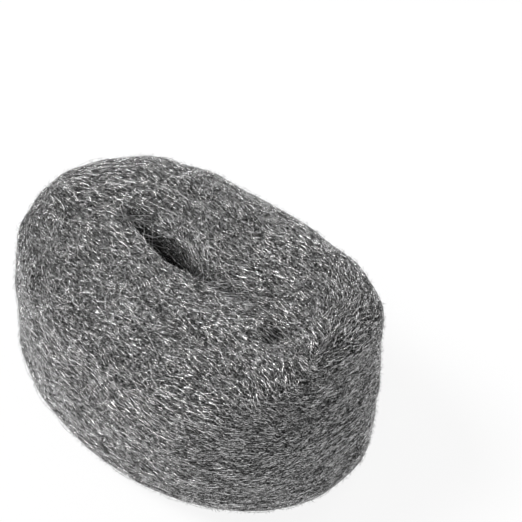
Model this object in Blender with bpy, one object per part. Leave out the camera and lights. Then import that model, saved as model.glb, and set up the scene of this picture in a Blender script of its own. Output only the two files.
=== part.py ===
# Steel wool bundle: one ribbon of steel wool, wound flat round itself and stood on its end.
# The ribbon's width is the bundle's height. Both ends show the turns, wound round a pinched core.
# X runs along the bundle, +Y points to its back, +Z up. The origin is the middle of the foot.
import math

import bmesh
import bpy

# Overall size in metres
oval_length = 0.100
oval_width = 0.0656
ribbon_width = 0.0465

# Plan outline: the core lies nearer the back, and each quarter has its own fullness at the foot
core_to_back = 0.0035
fullness_front_left = 2.38
fullness_front_right = 1.79
fullness_back_left = 2.53
fullness_back_right = 3.0
front_left_gain = -0.6
front_right_gain = 3.0

# Rounded edges round both ends, and the slight barrel and lean of the wall
rim_height = 0.0047
rim_reach = 0.0086
foot_height = 0.0088
foot_reach = 0.0035
barrel_depth = 0.0009
lean_front = 0.0014

# The turns have slid on one another: the top end rises to the right and a little to the back
rise_right = 0.0050
rise_back = 0.0013

# Swells of the wool along the wall
wall_swell = 0.0007
swells_up = 2.0
swells_round = 2.0
swell_drift = 1.5
swell_drifts_round = 3.0
swell_turn = 0.6

# Tufts all over the wool: low lumps, longer along the winding than across it
tuft_height = 0.0008
tuft_spacing = 0.0066
tuft_waves = 7
tuft_turn = 2.4
tuft_stretch_x = 0.40
tuft_stretch_y = 0.65
tuft_evenness = 1.6

# The ribbon's outer end, pressed flat on the back of the wall
loose_end_thickness = 0.0009
loose_end_angle = math.radians(112)
loose_end_taper = math.radians(34)

# Turns seen on both ends
turns_seen = 3.0
turn_groove_depth = 0.0011
turn_groove_sharpness = 5.0
top_dish = 0.0018
dish_steepness = 1.3
foot_land = 0.26
foot_groove_rise = 4.0

# The pinched core: a cleft that runs in an S from the left down to the right
cleft_length = 0.046
cleft_centre_x = -0.0010
cleft_left_y = 0.0030
cleft_right_y = -0.0003
cleft_half_width = 0.0008
cleft_open_half_width = 0.0028
cleft_depth = 0.0026
cleft_open_depth = 0.0180
cleft_open_x = -0.0040
cleft_open_reach_left = 0.0100
cleft_open_reach_right = 0.0052
cleft_floor_share = 0.45
foot_cleft_depth = 0.0045
valley_depth = 0.0012
valley_reach = 0.0042
valley_fullness = 4.0

# Pockets where the wool has pulled apart, and swells of the turns, on the top end
pocket_radius = 0.0036
pocket_depth = 0.0040
left_pocket_inset = 0.0150
left_pocket_y = -0.0070
right_pocket_inset = 0.0155
right_pocket_y = -0.0036
relief_fullness = 6.0
swell_radius = 0.0085
swell_height = 0.0010
left_swell_inset = 0.0200
left_swell_y = 0.0140
right_swell_inset = 0.0340
right_swell_y = 0.0138
front_swell_x = 0.0200
front_swell_y = -0.0128

# Steps of the skin
steps_round = 108
steps_edge = 4
steps_wall = 12
steps_end = 13
steps_cleft = 3

steel_colour = (0.20, 0.20, 0.20, 1.0)
steel_metallic = 0.85
steel_roughness = 0.45


def angles():
    return [2 * math.pi * step / steps_round for step in range(steps_round)]


def fullness(along, across, z):
    """How boxy the outline is in one quarter, at height z."""
    if across >= 0:
        return fullness_back_left if along < 0 else fullness_back_right
    if along < 0:
        return fullness_front_left + front_left_gain * z / ribbon_width
    return fullness_front_right + front_right_gain * z / ribbon_width


def outline(angle, z):
    """Point of the plan outline at height z, as a rounded oval about the core."""
    across, along = math.sin(angle), math.cos(angle)
    reach = oval_width / 2 - core_to_back
    if across < 0:
        reach = oval_width / 2 + core_to_back
    power = fullness(along, across, z)
    size = (abs(along) ** power + abs(across) ** power) ** (-1 / power)
    return oval_length / 2 * along * size, reach * across * size + core_to_back


def inward(angle, z):
    """Unit vector square to the outline, pointing in."""
    step = 0.01
    x0, y0 = outline(angle - step, z)
    x1, y1 = outline(angle + step, z)
    length = math.hypot(x1 - x0, y1 - y0)
    return -(y1 - y0) / length, (x1 - x0) / length


def height_share(z):
    """-1 at the foot, 0 half way up, 1 at the top."""
    return 2 * z / ribbon_width - 1


def loose_end(angle, z):
    """Thickness that the ribbon's outer end adds: it tapers one way round and stops short the other."""
    behind = (angle - loose_end_angle) % (2 * math.pi)
    along = max(0.0, 1 - behind / loose_end_taper)
    up = max(0.0, 1 - height_share(z) ** 2)
    return loose_end_thickness * along * up


def wall_dent(angle, z):
    """Depth of the shallow hollows between the wall's swells."""
    drift = swell_drift * math.sin(swell_drifts_round * angle)
    wave = math.sin(2 * math.pi * swells_up * z / ribbon_width + drift)
    fade = 1 - height_share(z) ** 2
    return wall_swell * fade * (1 + wave * math.cos(swells_round * angle + swell_turn)) / 2


def tuft_dent(x, y, z):
    """Depth of the hollows between the tufts at a point of the skin."""
    total = 0.0
    for wave in range(tuft_waves):
        up = (wave + 0.5) / tuft_waves
        flat = math.sqrt(1 - up * up)
        along = flat * math.cos(tuft_turn * wave) * x * tuft_stretch_x
        across = flat * math.sin(tuft_turn * wave) * y * tuft_stretch_y
        total += math.sin(2 * math.pi * (along + across + up * z) / tuft_spacing + wave * wave)
    lump = total * math.sqrt(2 / tuft_waves) / tuft_evenness
    return tuft_height * (1 - max(-1.0, min(1.0, lump))) / 2


def rise(x, y):
    """How far the turns have slid up at a point of the upright oval."""
    return rise_right * 2 * x / oval_length + rise_back * 2 * y / oval_width


def wall_point(angle, inset, z, turn=0.0):
    """Point on the wall or a rounded edge, inset from the outline, at height z before the turns slid.

    The skin faces outwards for turn 0 and upwards for a quarter turn.
    """
    x, y = outline(angle, z)
    in_x, in_y = inward(angle, z)
    share = height_share(z)
    dent = tuft_dent(x, y, z) * min(1.0, z / foot_height)
    depth = inset + barrel_depth * share ** 2 + wall_dent(angle, z) - loose_end(angle, z)
    depth += dent * math.cos(turn)
    return (
        x + in_x * depth,
        y + in_y * depth - lean_front * share,
        z + rise(x, y) * z / ribbon_width - dent * math.sin(turn),
    )


def opening(x):
    """1 where the cleft stands open, falling to 0 along it, sooner to the right."""
    reach = cleft_open_reach_left if x < cleft_open_x else cleft_open_reach_right
    return math.exp(-(((x - cleft_open_x) / reach) ** 2))


def cleft_line(x):
    """Y of the middle of the cleft."""
    along = min(1.0, max(0.0, (x - cleft_centre_x) / cleft_length + 0.5))
    ease = along * along * (3 - 2 * along)
    return cleft_left_y + (cleft_right_y - cleft_left_y) * ease


def cleft_point(angle, share):
    """Point of the cleft's edge for share 1, narrower for less."""
    turned = angle if angle <= math.pi else 2 * math.pi - angle
    along = 1 - 2 * turned / math.pi
    side = 1 if angle <= math.pi else -1
    x = cleft_centre_x + cleft_length / 2 * along
    half = cleft_half_width + (cleft_open_half_width - cleft_half_width) * opening(x)
    return x, cleft_line(x) + side * half * share * math.sqrt(max(0.0, 1 - along * along))


def foot_cleft_point(angle, share):
    """The same cleft at the foot, which the lean leaves further back."""
    x, y = cleft_point(angle, share)
    return x, y + 2 * lean_front


def groove(angle, spread):
    """0 on a turn's crown, 1 in the groove between two turns. The groove winds in as a spiral."""
    phase = turns_seen * (1 - spread) + angle / (2 * math.pi)
    valley = (0.5 + 0.5 * math.cos(2 * math.pi * phase)) ** turn_groove_sharpness
    return valley * math.sqrt(max(0.0, 4 * spread * (1 - spread)))


def mound(x, y, centre_x, centre_y, radius):
    return math.exp(-((x - centre_x) ** 2 + (y - centre_y) ** 2) / radius ** 2)


def valley(x, y):
    """1 along the cleft, falling to 0 beside it and past its ends."""
    beside = (y - cleft_line(x)) / valley_reach
    along = 2 * (x - cleft_centre_x) / cleft_length
    return math.exp(-(beside ** 2) - abs(along) ** valley_fullness)


def top_relief(x, y):
    """Swells less pockets and the valley of the top end."""
    half = oval_length / 2
    pockets = mound(x, y, left_pocket_inset - half, left_pocket_y, pocket_radius)
    pockets += mound(x, y, half - right_pocket_inset, right_pocket_y, pocket_radius)
    swells = mound(x, y, left_swell_inset - half, left_swell_y, swell_radius)
    swells += mound(x, y, half - right_swell_inset, right_swell_y, swell_radius)
    swells += mound(x, y, front_swell_x, front_swell_y, swell_radius)
    return swell_height * swells - pocket_depth * pockets - valley_depth * valley(x, y)


def top_point(angle, spread):
    """Point of the top end: spread 1 is the rim, 0 the lip of the cleft."""
    rim_x, rim_y, rim_z = wall_point(angle, rim_reach, ribbon_width, math.pi / 2)
    rim_z += tuft_dent(*outline(angle, ribbon_width), ribbon_width)
    lip_x, lip_y = cleft_point(angle, 1)
    x = lip_x + (rim_x - lip_x) * spread
    y = lip_y + (rim_y - lip_y) * spread
    lip_z = ribbon_width + rise(lip_x, lip_y + lean_front)
    level = lip_z + (rim_z - lip_z) * spread
    fade = 1 - spread ** relief_fullness
    z = level - top_dish * (1 - spread) ** dish_steepness - turn_groove_depth * groove(angle, spread)
    return x, y, z + fade * top_relief(x, y) - tuft_dent(x, y, ribbon_width)


def foot_point(angle, spread):
    """Point of the foot end, flat on a land round its edge and recessed by the turns inside that."""
    rim_x, rim_y, _ = wall_point(angle, foot_reach, 0)
    lip_x, lip_y = foot_cleft_point(angle, 1)
    x = lip_x + (rim_x - lip_x) * spread
    y = lip_y + (rim_y - lip_y) * spread
    inside = max(0.0, 1 - spread / (1 - foot_land))
    fade = min(1.0, foot_groove_rise * inside)
    return x, y, turn_groove_depth * (groove(angle, spread) * fade + inside ** 2)


def foot_rings():
    rings = []
    for step in range(steps_cleft):
        recess = 1 - step / steps_cleft
        ring = []
        for angle in angles():
            x, y = foot_cleft_point(angle, 1 - (1 - cleft_floor_share) * recess)
            _, _, lip = foot_point(angle, 0)
            ring.append((x, y, lip + foot_cleft_depth * recess))
        rings.append(ring)
    for step in range(steps_end):
        spread = step / steps_end
        rings.append([foot_point(angle, spread) for angle in angles()])
    return rings


def wall_rings():
    rings = []
    for step in range(steps_edge):
        turn = math.pi / 2 * step / steps_edge
        inset = foot_reach * (1 - math.sin(turn))
        z = foot_height * (1 - math.cos(turn))
        rings.append([wall_point(angle, inset, z) for angle in angles()])
    for step in range(steps_wall + 1):
        z = foot_height + (ribbon_width - rim_height - foot_height) * step / steps_wall
        rings.append([wall_point(angle, 0, z) for angle in angles()])
    for step in range(1, steps_edge + 1):
        turn = math.pi / 2 * step / steps_edge
        inset = rim_reach * (1 - math.cos(turn))
        z = ribbon_width - rim_height * (1 - math.sin(turn))
        rings.append([wall_point(angle, inset, z, turn) for angle in angles()])
    return rings


def top_rings():
    rings = []
    for step in range(1, steps_end + 1):
        spread = 1 - step / steps_end
        rings.append([top_point(angle, spread) for angle in angles()])
    for step in range(1, steps_cleft + 1):
        drop = step / steps_cleft
        ring = []
        for angle in angles():
            x, y = cleft_point(angle, 1 - (1 - cleft_floor_share) * drop)
            depth = cleft_depth + (cleft_open_depth - cleft_depth) * opening(x)
            _, _, lip = top_point(angle, 0)
            ring.append((x, y, lip - depth * drop))
        rings.append(ring)
    return rings


def close_cleft(bm, ring):
    """Floor of a cleft: a strip between the ring's back half and its front half."""
    last = len(ring)
    middle = last // 2
    bm.faces.new((ring[0], ring[1], ring[last - 1]))
    for step in range(1, middle - 1):
        bm.faces.new((ring[step], ring[step + 1], ring[last - step - 1], ring[last - step]))
    bm.faces.new((ring[middle - 1], ring[middle], ring[middle + 1]))


def skin_rings(bm, lower, upper):
    """Band of faces between two neighbouring rings."""
    count = len(lower)
    for step in range(count):
        after = (step + 1) % count
        bm.faces.new((lower[step], lower[after], upper[after], upper[step]))


def steel_material():
    material = bpy.data.materials.new("steel_wool")
    material.use_nodes = True
    shader = material.node_tree.nodes["Principled BSDF"]
    shader.inputs["Base Color"].default_value = steel_colour
    shader.inputs["Metallic"].default_value = steel_metallic
    shader.inputs["Roughness"].default_value = steel_roughness
    return material


def centre_of(rings):
    """Middle of the whole bundle in X and Y, which the origin stands under."""
    xs = [point[0] for ring in rings for point in ring]
    ys = [point[1] for ring in rings for point in ring]
    return (min(xs) + max(xs)) / 2, (min(ys) + max(ys)) / 2


def build_bundle():
    rings = foot_rings() + wall_rings() + top_rings()
    middle_x, middle_y = centre_of(rings)
    bm = bmesh.new()
    loops = []
    for ring in rings:
        loops.append([bm.verts.new((x - middle_x, y - middle_y, z)) for x, y, z in ring])
    for lower, upper in zip(loops, loops[1:]):
        skin_rings(bm, lower, upper)
    close_cleft(bm, loops[0])
    close_cleft(bm, loops[-1])
    bmesh.ops.recalc_face_normals(bm, faces=bm.faces)
    mesh = bpy.data.meshes.new("steel_wool_bundle")
    bm.to_mesh(mesh)
    bm.free()
    mesh.shade_smooth()
    mesh.materials.append(steel_material())
    bundle = bpy.data.objects.new("steel_wool_bundle", mesh)
    bpy.context.scene.collection.objects.link(bundle)
    return bundle


for item in list(bpy.data.objects):
    bpy.data.objects.remove(item)
build_bundle()
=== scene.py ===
import math

import bpy
import numpy as np
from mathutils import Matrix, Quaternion, Vector
from mathutils.bvhtree import BVHTree
from mathutils.kdtree import KDTree


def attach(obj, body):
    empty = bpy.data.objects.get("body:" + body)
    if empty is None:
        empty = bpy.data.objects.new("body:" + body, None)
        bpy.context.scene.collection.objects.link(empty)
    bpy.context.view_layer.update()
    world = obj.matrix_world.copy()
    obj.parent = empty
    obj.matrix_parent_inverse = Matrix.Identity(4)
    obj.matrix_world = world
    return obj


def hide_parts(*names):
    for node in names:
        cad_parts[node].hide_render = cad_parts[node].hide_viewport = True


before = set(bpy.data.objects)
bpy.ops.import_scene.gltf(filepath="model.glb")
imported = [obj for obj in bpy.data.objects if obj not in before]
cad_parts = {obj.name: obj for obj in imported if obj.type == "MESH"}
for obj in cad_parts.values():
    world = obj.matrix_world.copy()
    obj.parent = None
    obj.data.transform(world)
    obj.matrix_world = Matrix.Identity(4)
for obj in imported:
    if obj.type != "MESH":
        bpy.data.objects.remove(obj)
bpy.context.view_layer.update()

scene = bpy.context.scene
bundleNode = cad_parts["steel_wool_bundle"]

# Small helpers for nodes and objects


def deselectAll():
    bpy.ops.object.select_all(action="DESELECT")


def takeUp(piece):  # the only selected object, and the active one
    deselectAll()
    piece.select_set(True)
    bpy.context.view_layer.objects.active = piece


def newMaterial(name):
    material = bpy.data.materials.new(name)
    material.use_nodes = True
    tree = material.node_tree
    return material, tree, tree.nodes["Principled BSDF"]


def addNode(tree, kind, x, y, **settings):
    node = tree.nodes.new(kind)
    node.location = (x, y)
    for name, value in settings.items():
        setattr(node, name, value)
    return node


def mathNode(tree, operation, x, y, first, second):
    node = addNode(tree, "ShaderNodeMath", x, y, operation=operation)
    for socket, value in zip(node.inputs, (first, second)):
        if isinstance(value, (int, float)):
            socket.default_value = value
        else:
            tree.links.new(value, socket)
    return node.outputs[0]


# The winding: which way the wool runs at any place on the bundle

winding = {
    "rimBand": (0.003, 0.010),  # inside this far from the outline the wool stops following it
    "combReach": 0.0075,  # how far a turned tuft is felt
    # These 25 come from a script's measurements of the photograph and weren't set by hand
    "tufts": [  # x, y in mm and the way the wool lies there in degrees, on the top end
        (-40, 11, 55), (-30, 3, 17), (-23, 10, 12), (-16, 17, -11), (-9, 23, -4),
        (-21, -4, 1), (-14, 3, -8), (-7, 10, -27), (0, 16, -14), (1, 3, -18),
        (-26, -23, -29), (-12, -10, 7), (8, 9, -11), (14, 15, 10), (20, 21, -11),
        (9, -4, 0), (15, 2, 14), (21, 8, 9), (28, 14, -23), (34, 20, -26),
        (22, -4, 19), (29, -10, 0), (40, 14, -82), (11, -28, 3), (23, -16, 7),
    ],
    "corner": (0.046, -0.014),  # at the front right the front turn runs straight on and dives over the rim
    "cornerReach": 0.012,
    "dive": 42,
    "outlineSteps": 120,
}


def smoothStep(low, high, values):
    share = np.clip((values - low) / (high - low), 0, 1)
    return share * share * (3 - 2 * share)


def meshPoints(mesh):
    points = np.empty(len(mesh.vertices) * 3)
    mesh.vertices.foreach_get("co", points)
    return points.reshape(-1, 3)


def planOutline(points):  # the bundle's outline seen from above, anticlockwise
    turn = math.pi / 2 + np.linspace(0, 2 * math.pi, winding["outlineSteps"], endpoint=False)
    ways = np.stack((np.cos(turn), np.sin(turn)))
    corners = points[np.argmax(points[:, :2] @ ways, axis=0), :2]
    keep = np.linalg.norm(corners - np.roll(corners, 1, axis=0), axis=1) > 1e-5
    return corners[keep]


def outlineNear(spots):  # distance in from the outline, and the outline's own direction there
    start, after = outline, np.roll(outline, -1, axis=0)
    run = after - start
    length = (run ** 2).sum(axis=1)
    reach = spots[:, None, :] - start[None]
    share = np.clip((reach * run[None]).sum(axis=2) / length, 0, 1)
    gap = np.linalg.norm(reach - share[..., None] * run[None], axis=2)
    best = gap.argmin(axis=1)
    row = np.arange(len(spots))
    return gap[row, best], np.arctan2(run[best, 1], run[best, 0])


def woolWay(spots, normals):  # unit vectors along the surface, the way the wool runs
    inset, ringTurn = outlineNear(spots[:, :2])
    flat = np.linalg.norm(normals[:, :2], axis=1)
    wall = smoothStep(0.5, 0.85, flat)
    ringTurn = np.where(wall > 0.5, np.arctan2(normals[:, 0], -normals[:, 1]), ringTurn)
    corner = ((spots[:, :2] - winding["corner"]) ** 2).sum(axis=1)
    corner = np.exp(-corner / winding["cornerReach"] ** 2) * smoothStep(0.022, 0.042, spots[:, 2])
    ringShare = np.maximum(wall, (1 - smoothStep(*winding["rimBand"], inset)) * (1 - corner))
    double = np.stack((np.cos(2 * ringTurn), np.sin(2 * ringTurn)), axis=1) * ringShare[:, None]
    double[:, 0] += 1 - ringShare
    top = (normals[:, 2] > 0.3) * (1 - wall)
    for x, y, turn in winding["tufts"]:
        away = ((spots[:, 0] - x / 1000) ** 2 + (spots[:, 1] - y / 1000) ** 2) / winding["combReach"] ** 2
        pull = 3 * np.exp(-away) * top
        double[:, 0] += pull * math.cos(math.radians(2 * turn))
        double[:, 1] += pull * math.sin(math.radians(2 * turn))
    turn = np.arctan2(double[:, 1], double[:, 0]) / 2
    way = np.stack((np.cos(turn), np.sin(turn), np.zeros(len(turn))), axis=1)
    way -= normals * (way * normals).sum(axis=1)[:, None]
    way /= np.linalg.norm(way, axis=1)[:, None]
    return turnAbout(way, normals, -corner * flat * math.radians(winding["dive"]))


# The dense wool under the loose fibres: it keeps the CAD bundle's form

denseWool = {
    "inset": 0.0005,  # how far the dense wool lies under the outer fibres
    "knotSize": 0.0016,
    "knotHeight": 0.0002,
    "skyRays": 28,  # cast from each place to find how much of the sky it sees
    "skyReach": 0.030,
    "skyBlend": 0.0045,  # wool this near a gap gets its painted shade too
}


def shiftBySurface(piece, size, height, middle):
    pattern = bpy.data.textures.new("woolLumps", "CLOUDS")
    pattern.noise_scale = size
    pattern.noise_depth = 1
    swell = piece.modifiers.new("lumps", "DISPLACE")
    swell.texture = pattern
    swell.texture_coords = "LOCAL"
    swell.strength = height
    swell.mid_level = middle
    takeUp(piece)
    bpy.ops.object.modifier_apply(modifier=swell.name)


def makeDenseWool():
    piece = bpy.data.objects.new("denseWool", bundleNode.data.copy())
    scene.collection.objects.link(piece)
    piece.data.materials.clear()
    takeUp(piece)
    bpy.ops.object.mode_set(mode="EDIT")
    bpy.ops.mesh.select_all(action="SELECT")
    bpy.ops.mesh.remove_doubles(threshold=0.000005)
    bpy.ops.mesh.normals_make_consistent(inside=False)
    bpy.ops.object.mode_set(mode="OBJECT")
    return piece


print("reading the bundle's form")
woolBody = makeDenseWool()
cadPoints = meshPoints(woolBody.data)
cadCorners = cadPoints[np.array([tuple(f.vertices) for f in woolBody.data.polygons])]
outline = planOutline(cadPoints)

finer = woolBody.modifiers.new("finer", "SUBSURF")
finer.levels = finer.render_levels = 1
takeUp(woolBody)
bpy.ops.object.modifier_apply(modifier=finer.name)
shrink = woolBody.modifiers.new("inset", "DISPLACE")
shrink.strength = -denseWool["inset"]
shrink.mid_level = 0
bpy.ops.object.modifier_apply(modifier=shrink.name)
shiftBySurface(woolBody, denseWool["knotSize"], denseWool["knotHeight"], 0.5)
bpy.ops.object.shade_smooth()
woolTree = BVHTree.FromPolygons(
    [tuple(v.co) for v in woolBody.data.vertices], [tuple(f.vertices) for f in woolBody.data.polygons]
)


def skyShares(points, normals):  # how much of the sky each place sees: 1 on open skin, little down in the cleft
    steps = np.arange(denseWool["skyRays"]) + 0.5
    up = 1 - steps / denseWool["skyRays"]
    turn = steps * math.pi * (3 - math.sqrt(5))
    flat = np.sqrt(1 - up * up)
    ways = [Vector(way) for way in np.stack((flat * np.cos(turn), flat * np.sin(turn), up), axis=1).tolist()]
    shares = np.empty(len(points))
    for index, (point, normal) in enumerate(zip(points.tolist(), normals.tolist())):
        start = Vector(point) + Vector(normal) * 0.0004
        tilt = Vector((0, 0, 1)).rotation_difference(Vector(normal))
        free = 0
        for way in ways:
            free += woolTree.ray_cast(start, tilt @ way, denseWool["skyReach"])[0] is None
        shares[index] = free / len(ways)
    return shares


def blendSky(points, shares):
    places = KDTree(len(points))
    for index, point in enumerate(points.tolist()):
        places.insert(point, index)
    places.balance()
    soft = np.empty(len(points))
    for index, point in enumerate(points.tolist()):
        near = [found[1] for found in places.find_range(point, denseWool["skyBlend"])]
        soft[index] = min(shares[index], shares[near].mean())
    return soft


def storeValues(mesh, name, values):
    layer = mesh.attributes.new(name, "FLOAT", "POINT")
    layer.data.foreach_set("value", values)


def cornerNormals(mesh):
    normals = np.empty(len(mesh.vertices) * 3)
    mesh.vertices.foreach_get("normal", normals)
    return normals.reshape(-1, 3)


# The sky each place sees drives painted shade: the materials darken wool that sees little of it.
bodyPoints = meshPoints(woolBody.data)
bodySky = skyShares(bodyPoints, cornerNormals(woolBody.data))
softSky = blendSky(bodyPoints, bodySky)
storeValues(woolBody.data, "sky", softSky)
faceSky = np.array([softSky[list(f.vertices)].mean() for f in woolBody.data.polygons])
print("sky seen from the dense wool: lowest", round(float(bodySky.min()), 2))

# The dense wool is painted near black to dark grey: a grain pattern, with its darkness standing in as painted shade
# for the shadow between and under the fibres.
denseSteel = {
    "tones": ((0.42, 0.004), (0.54, 0.03), (0.64, 0.20)),
    "specular": 0.05,
    "roughness": 0.9,
    "grain": 3800,
    "bump": 0.00008,
}

gapShade = {"low": 0.20, "high": 0.75, "dark": 0.05}  # painted shade, sky share to tone: wool down in a gap is painted dark


def shadeGaps(tree, colour, x, y):  # painted shade: colour times the tone for the sky seen there
    sky = addNode(tree, "ShaderNodeAttribute", x - 400, y, attribute_name="sky")
    tone = addNode(tree, "ShaderNodeMapRange", x - 200, y)
    for name, value in (("From Min", gapShade["low"]), ("From Max", gapShade["high"]), ("To Min", gapShade["dark"])):
        tone.inputs[name].default_value = value
    tree.links.new(sky.outputs["Fac"], tone.inputs["Value"])
    shade = addNode(tree, "ShaderNodeVectorMath", x, y, operation="SCALE")
    tree.links.new(colour, shade.inputs[0])
    tree.links.new(tone.outputs["Result"], shade.inputs["Scale"])
    return shade.outputs[0]


def makeDenseSteel():
    material, tree, shader = newMaterial("denseSteelWool")
    shader.inputs["Specular IOR Level"].default_value = denseSteel["specular"]
    shader.inputs["Roughness"].default_value = denseSteel["roughness"]
    place = addNode(tree, "ShaderNodeTexCoord", -900, 0)
    grain = addNode(tree, "ShaderNodeTexNoise", -700, 0)
    grain.inputs["Scale"].default_value = denseSteel["grain"]
    grain.inputs["Detail"].default_value = 1
    tree.links.new(place.outputs["Object"], grain.inputs["Vector"])
    ramp = addNode(tree, "ShaderNodeValToRGB", -450, 200)
    stops = ramp.color_ramp.elements
    while len(stops) < len(denseSteel["tones"]):
        stops.new(0.5)
    for stop, (position, tone) in zip(stops, denseSteel["tones"]):
        stop.position = position
        stop.color = (tone, tone, tone, 1)
    tree.links.new(grain.outputs["Fac"], ramp.inputs["Fac"])
    # The grain's colour is darkened by the painted gap shade.
    tree.links.new(shadeGaps(tree, ramp.outputs["Color"], 0, 400), shader.inputs["Base Color"])
    bump = addNode(tree, "ShaderNodeBump", -250, -150)
    bump.inputs["Strength"].default_value = 1
    bump.inputs["Distance"].default_value = denseSteel["bump"]
    tree.links.new(grain.outputs["Fac"], bump.inputs["Height"])
    tree.links.new(bump.outputs["Normal"], shader.inputs["Normal"])
    return material


woolBody.data.materials.append(makeDenseSteel())
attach(woolBody, "root")
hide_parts("steel_wool_bundle")
print("dense wool:", len(woolBody.data.polygons), "faces")

# The fibres: each one a thin pointed shaving that follows the winding

fibres = {
    "strayShare": 0.07,  # fibres that cross the winding
    "straySpread": 32,
    "bend": 3,  # degrees a step
    "crinkle": 4,
    "footShare": 0.45,  # of the fibres that a like area of the wall has
    "bridge": 0.0030,  # a fibre that spans a deeper gap than this is left out
    "gapSky": 0.62,  # places that see less of the sky lie in a gap
    "gapFloor": 0.030,
    "lipStep": 0.0030,
    "seed": 41,
}

# Each set, from the deepest up: fibres, points along one with its tips and the steps between them, width,
# height over the dense wool, arch, turn off the winding, and finish
# The colour steps up with the height in the mat: the near black deep and grey sets are painted shade, standing in for
# the shadow down among the fibres.
fibreSets = {
    "fibresDeepShaded": {"count": 9000, "points": 3, "stride": (0.0013, 0.0024), "width": (0.00012, 0.00018),
                   "lift": (-0.00010, 0.00004), "arch": 0.0, "spread": 13,
                   "colour": 0.02, "metallic": 0.0, "roughness": 0.9},
    "fibresGreyShaded": {"count": 26000, "points": 3, "stride": (0.0012, 0.0022), "width": (0.00009, 0.00014),
                   "lift": (-0.00008, 0.00008), "arch": 0.0, "spread": 13,
                   "colour": 0.06, "metallic": 0.4, "roughness": 0.4},
    "fibresMiddle": {"count": 30000, "points": 3, "stride": (0.0011, 0.0022), "width": (0.00009, 0.00013),
                     "lift": (-0.00004, 0.00010), "arch": 0.0001, "spread": 14,
                     "colour": 0.34, "metallic": 0.8, "roughness": 0.26},
    "fibresPale": {"count": 16500, "points": 4, "stride": (0.0008, 0.0015), "width": (0.00007, 0.00011),
                   "lift": (0.0, 0.00015), "arch": 0.0001, "spread": 12,
                   "colour": 0.80, "metallic": 0.85, "roughness": 0.23},
    "fibresBright": {"count": 28000, "points": 3, "stride": (0.0008, 0.0017), "width": (0.00008, 0.00012),
                     "lift": (-0.00002, 0.00014), "arch": 0.0, "spread": 12,
                     "colour": 0.72, "metallic": 0.8, "roughness": 0.25},
    "fibresLoose": {"count": 500, "points": 9, "stride": (0.0009, 0.0016), "width": (0.00006, 0.00009),
                    "lift": (0.0, 0.00015), "arch": 0.0009, "spread": 25,
                    "colour": 0.25, "metallic": 0.6, "roughness": 0.35},
    "fibresFuzz": {"count": 22000, "points": 3, "stride": (0.00035, 0.0008), "width": (0.00006, 0.00010),
                   "lift": (0.0, 0.00008), "arch": 0.0011, "spread": 60,
                   "colour": 0.25, "metallic": 0.6, "roughness": 0.4},
    "fibresBridging": {"count": 240, "points": 6, "width": (0.00008, 0.00012), "half": (0.0028, 0.0052),
                       "spread": 20, "colour": 0.40, "metallic": 0.6, "roughness": 0.3},
}
glints = {"scale": 950, "low": 0.39, "high": 0.63, "dark": 0.05, "bright": 2.4}  # painted glints and shade: the tone along one fibre goes dark and bright in short dashes


def makeFibreSteel(name, spec):
    material, tree, shader = newMaterial(name + "Steel")
    place = addNode(tree, "ShaderNodeTexCoord", -1200, 300)
    strand = addNode(tree, "ShaderNodeAttribute", -1200, 0, attribute_name="strand")
    noise = addNode(tree, "ShaderNodeTexNoise", -1000, 300, noise_dimensions="4D")
    noise.inputs["Scale"].default_value = glints["scale"]
    noise.inputs["Detail"].default_value = 1
    tree.links.new(place.outputs["Object"], noise.inputs["Vector"])
    tree.links.new(strand.outputs["Fac"], noise.inputs["W"])
    tone = addNode(tree, "ShaderNodeMapRange", -800, 300)
    for socket, value in (("From Min", "low"), ("From Max", "high"), ("To Min", "dark"), ("To Max", "bright")):
        tone.inputs[socket].default_value = glints[value]
    tree.links.new(noise.outputs["Fac"], tone.inputs["Value"])
    # Painted glints and shade: the fibre's colour times the dashed tone, kept under 0.95, then darkened by the
    # painted gap shade.
    level = mathNode(tree, "MULTIPLY", -600, 300, tone.outputs["Result"], spec["colour"])
    level = mathNode(tree, "MINIMUM", -450, 300, level, 0.95)
    tree.links.new(shadeGaps(tree, level, -200, 300), shader.inputs["Base Color"])
    shader.inputs["Metallic"].default_value = spec["metallic"]
    shader.inputs["Specular IOR Level"].default_value = denseSteel["specular"]
    shader.inputs["Roughness"].default_value = spec["roughness"]
    return material


def onSurface(spots):  # nearest places on the bundle's form, with its normals and faces there
    near, normals = np.empty_like(spots), np.empty_like(spots)
    faces = np.empty(len(spots), dtype=int)
    for index, spot in enumerate(spots.tolist()):
        near[index], normals[index], faces[index], _ = woolTree.find_nearest(spot)
    return near, normals, faces


def scatterRoots(rng, count):
    square = np.cross(cadCorners[:, 1] - cadCorners[:, 0], cadCorners[:, 2] - cadCorners[:, 0])
    area = np.linalg.norm(square, axis=1)
    weight = area * np.where(square[:, 2] < -0.7 * area, fibres["footShare"], 1)
    chosen = rng.choice(len(area), count, p=weight / weight.sum())
    first, second = rng.random(count), rng.random(count)
    fold = first + second > 1
    first[fold], second[fold] = 1 - first[fold], 1 - second[fold]
    start = cadCorners[chosen]
    spots = start[:, 0] + first[:, None] * (start[:, 1] - start[:, 0]) + second[:, None] * (start[:, 2] - start[:, 0])
    return onSurface(spots)


def turnAbout(ways, normals, angles):
    side = np.cross(normals, ways)
    return ways * np.cos(angles)[:, None] + side * np.sin(angles)[:, None]


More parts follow.
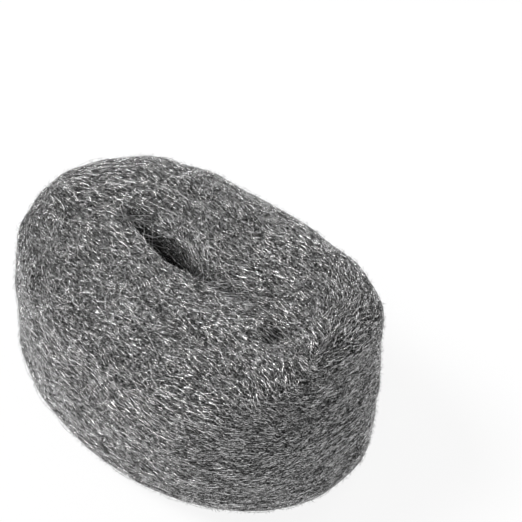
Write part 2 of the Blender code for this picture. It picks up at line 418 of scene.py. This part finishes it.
def layFibres(rng, spec):  # the middle line of every fibre, as count x points x 3, with the surface's normals and sky, the sky setting the fibre's painted shade
    count, steps = int(spec["count"] * 1.15), spec["points"]
    spots, normals, faces = scatterRoots(rng, count)
    stride = rng.uniform(*spec["stride"], count)
    offset = rng.normal(0, math.radians(spec["spread"]), count)
    stray = rng.random(count) < fibres["strayShare"]
    offset[stray] = rng.normal(0, math.radians(fibres["straySpread"]), stray.sum())
    bend = rng.normal(0, math.radians(fibres["bend"]), count)
    backwards = rng.random(count) < 0.5
    lines, ups, sky = np.empty((count, steps, 3)), np.empty((count, steps, 3)), np.empty((count, steps))
    lastWay = None
    for step in range(steps):
        lines[:, step], ups[:, step], sky[:, step] = spots, normals, faceSky[faces]
        way = woolWay(spots, normals)
        turned = backwards if lastWay is None else (way * lastWay).sum(axis=1) < 0
        way *= np.where(turned, -1, 1)[:, None]
        lastWay = way
        swing = offset + bend * (step - steps / 2) + rng.normal(0, math.radians(fibres["crinkle"]), count)
        spots, normals, faces = onSurface(spots + turnAbout(way, normals, swing) * stride[:, None])
    share = np.linspace(0, 1, steps)
    taut = lines[:, :1] + (lines[:, -1:] - lines[:, :1]) * share[:, None]
    over = ((taut - lines) * ups).sum(axis=2)
    lines = np.where(over[..., None] > 0, taut, lines)  # a fibre is drawn straight over a hollow
    spans = over.max(axis=1)
    kept = np.flatnonzero(spans < fibres["bridge"])[:spec["count"]]
    lines, ups, sky = lines[kept], ups[kept], sky[kept]
    count = len(kept)
    ups[:, 1:-1] = ups[:, :-2] + ups[:, 1:-1] + ups[:, 2:]
    ups /= np.linalg.norm(ups, axis=2)[..., None]
    lift = rng.uniform(*spec["lift"], count)
    rise = rng.random(count) ** 1.5 * spec["arch"]
    height = lift[:, None] + rise[:, None] * (share if spec["points"] < 5 else np.sin(math.pi * share))
    height[:, 0] -= 0.0002
    if spec["points"] > 4:  # both ends tucked in, where short ones keep one end free
        height[:, -1] -= 0.0002
    return lines + ups * height[..., None], ups, sky


def bridgeGaps(rng, spec):  # fibres drawn from lip to lip over the cleft and the pockets
    deep = bodyPoints[(bodySky < fibres["gapSky"]) & (bodyPoints[:, 2] > fibres["gapFloor"])]
    middle = deep[rng.integers(0, len(deep), 6 * spec["count"])]
    up = np.tile((0.0, 0.0, 1.0), (len(middle), 1))
    way = turnAbout(woolWay(middle, up), up, rng.normal(0, math.radians(spec["spread"]), len(middle)))
    half = rng.uniform(*spec["half"], len(middle))[:, None] * way
    shift = rng.normal(0, 0.4, len(middle))[:, None] * half
    ends = []
    for spot in np.stack((middle + shift - half, middle + shift + half), axis=1).reshape(-1, 3).tolist():
        place = woolTree.ray_cast((spot[0], spot[1], 0.1), (0, 0, -1))[0]
        ends.append(place if place else (0, 0, 0))
    ends = np.array(ends).reshape(-1, 2, 3)
    level = np.abs(ends[:, 0, 2] - ends[:, 1, 2]) < fibres["lipStep"]
    clear = ends[:, :, 2].min(axis=1) > middle[:, 2] - 0.0005
    ends = ends[level & clear][:spec["count"]]
    share = np.linspace(0, 1, spec["points"])[None, :, None]
    lines = ends[:, :1] + (ends[:, 1:] - ends[:, :1]) * share
    lines[:, :, 2] -= rng.uniform(0, 0.0010, len(ends))[:, None] * np.sin(math.pi * share[..., 0])
    lines += rng.normal(0, 0.00008, lines.shape)
    lines[:, (0, -1), 2] -= 0.0002
    # Painted shade: each bridging fibre gets a random sky share, so that it is painted darker as if in the gap's
    # shadow.
    sky = np.repeat(rng.uniform(0.30, 0.75, len(ends))[:, None], spec["points"], axis=1)
    return lines, np.tile((0.0, 0.0, 1.0), (len(ends), spec["points"], 1)), sky


def fibreMesh(name, rng, spec):
    lines, ups, sky = bridgeGaps(rng, spec) if "half" in spec else layFibres(rng, spec)
    lines[..., 2] = np.maximum(lines[..., 2], 0.0001)
    count, steps, _ = lines.shape
    along = np.gradient(lines, axis=1)
    along /= np.linalg.norm(along, axis=2)[..., None]
    side = np.cross(along, ups)
    side /= np.linalg.norm(side, axis=2)[..., None]
    up = np.cross(side, along)
    share = np.linspace(0, 1, steps)
    radius = rng.uniform(*spec["width"], count)[:, None] / 2 * np.sin(math.pi * share) ** 0.35
    turn = rng.uniform(0, 2 * math.pi, count)[:, None] + rng.normal(0, 0.5, count)[:, None] * share
    edges = []
    for corner in range(3):
        angle = turn + corner * 2 * math.pi / 3
        edges.append(lines + radius[..., None] * (up * np.cos(angle)[..., None] + side * np.sin(angle)[..., None]))
    rings = np.stack(edges, axis=2)[:, 1:-1].reshape(count, -1, 3)
    points = np.concatenate((lines[:, :1], rings, lines[:, -1:]), axis=1)
    each = points.shape[1]
    quads, tips = [], []
    for corner in range(3):
        after = (corner + 1) % 3
        tips.append((0, 1 + after, 1 + corner))
        tips.append((each - 4 + corner, each - 4 + after, each - 1))
        for ring in range(steps - 3):
            low, high = 1 + 3 * ring, 4 + 3 * ring
            quads.append((low + corner, low + after, high + after, high + corner))
    base = (np.arange(count) * each)[:, None, None]
    faces = (base + np.array(quads)[None]).reshape(-1, 4).tolist()
    faces += (base + np.array(tips)[None]).reshape(-1, 3).tolist()
    mesh = bpy.data.meshes.new(name)
    mesh.from_pydata(points.reshape(-1, 3).tolist(), [], faces)
    mesh.shade_smooth()
    sky = np.concatenate((sky[:, :1], np.repeat(sky[:, 1:-1], 3, axis=1), sky[:, -1:]), axis=1)
    storeValues(mesh, "sky", sky.ravel())
    storeValues(mesh, "strand", np.repeat(rng.uniform(0, 500, count), each))
    return mesh


def makeFibres():
    for index, (name, spec) in enumerate(fibreSets.items()):
        rng = np.random.default_rng(fibres["seed"] + index)
        piece = bpy.data.objects.new(name, fibreMesh(name, rng, spec))
        scene.collection.objects.link(piece)
        piece.data.materials.append(makeFibreSteel(name, spec))
        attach(piece, "root")
        print(name + ":", len(piece.data.polygons), "faces")


makeFibres()

# The floor, the light and the camera

studio = {
    "floorSize": 6.0,
    "floorColour": 0.9,
    "floorGlow": 0.88,  # share of the floor that shows plain white, so that only a faint shadow is left
    "surround": 0.30,  # light from all round
}


def makeFloor():
    deselectAll()
    bpy.ops.mesh.primitive_plane_add(size=studio["floorSize"], location=(0, 0, 0))
    floor = bpy.context.active_object
    floor.name = "studioFloor"
    material, tree, shader = newMaterial("paleFloor")
    shader.inputs["Base Color"].default_value = (studio["floorColour"],) * 3 + (1,)
    shader.inputs["Roughness"].default_value = 0.8
    shader.inputs["Specular IOR Level"].default_value = 0
    glow = addNode(tree, "ShaderNodeEmission", 0, -300)
    glow.inputs["Strength"].default_value = 1
    path = addNode(tree, "ShaderNodeLightPath", -600, 300)
    seen = mathNode(tree, "MAXIMUM", -400, 300, path.outputs["Is Camera Ray"], path.outputs["Is Glossy Ray"])
    seen = mathNode(tree, "MAXIMUM", -200, 300, seen, path.outputs["Is Transmission Ray"])
    share = mathNode(tree, "MULTIPLY", 0, 300, seen, studio["floorGlow"])
    mix = addNode(tree, "ShaderNodeMixShader", 300, 0)
    tree.links.new(share, mix.inputs[0])
    tree.links.new(shader.outputs[0], mix.inputs[1])
    tree.links.new(glow.outputs[0], mix.inputs[2])
    tree.links.new(mix.outputs[0], tree.nodes["Material Output"].inputs["Surface"])
    floor.data.materials.append(material)


def makeWorld():
    world = bpy.data.worlds.new("studioWorld")
    scene.world = world
    world.use_nodes = True
    tree = world.node_tree
    tree.nodes.clear()
    path = addNode(tree, "ShaderNodeLightPath", -800, 200)
    seen = mathNode(tree, "MAXIMUM", -600, 200, path.outputs["Is Camera Ray"], path.outputs["Is Glossy Ray"])
    seen = mathNode(tree, "MAXIMUM", -400, 200, seen, path.outputs["Is Transmission Ray"])
    span = mathNode(tree, "MULTIPLY", -200, 200, seen, 1 - studio["surround"])
    strength = mathNode(tree, "ADD", 0, 200, span, studio["surround"])
    background = addNode(tree, "ShaderNodeBackground", 200, 0)
    background.inputs["Color"].default_value = (1, 1, 1, 1)
    output = addNode(tree, "ShaderNodeOutputWorld", 400, 0)
    tree.links.new(strength, background.inputs["Strength"])
    tree.links.new(background.outputs[0], output.inputs["Surface"])


lamps = {
    "key": {"place": (-0.44, -0.48, 0.88), "size": 0.40, "power": 11.2},
    "fill": {"place": (0.75, -0.70, 0.55), "size": 0.8, "power": 3.2},
    "rim": {"place": (-0.10, 0.90, 0.60), "size": 0.5, "power": 3},
}


def makeLamps():
    aim = Vector((0, 0, 0.03))
    for name, spec in lamps.items():
        light = bpy.data.lights.new(name, "AREA")
        light.energy = spec["power"]
        light.size = spec["size"]
        lamp = bpy.data.objects.new(name, light)
        scene.collection.objects.link(lamp)
        lamp.location = spec["place"]
        lamp.rotation_euler = (aim - lamp.location).to_track_quat("-Z", "Y").to_euler()


lens = {
    "place": (0.1650, -0.1385, 0.2367),
    "aim": (0.0034, 0.02276, 0.0328),
    "roll": 2.94,  # degrees
    "focal": 88.0,
}


def makeCamera():
    data = bpy.data.cameras.new("camera")
    data.lens = lens["focal"]
    data.sensor_width = 36
    data.clip_start, data.clip_end = 0.01, 20
    camera = bpy.data.objects.new("camera", data)
    scene.collection.objects.link(camera)
    camera.location = lens["place"]
    look = (Vector(lens["aim"]) - camera.location).to_track_quat("-Z", "Y")
    camera.rotation_mode = "QUATERNION"
    camera.rotation_quaternion = look @ Quaternion((0, 0, 1), math.radians(lens["roll"]))
    scene.camera = camera


makeFloor()
makeWorld()
makeLamps()
makeCamera()
scene.view_settings.view_transform = "Standard"
print("floor, light and camera set")
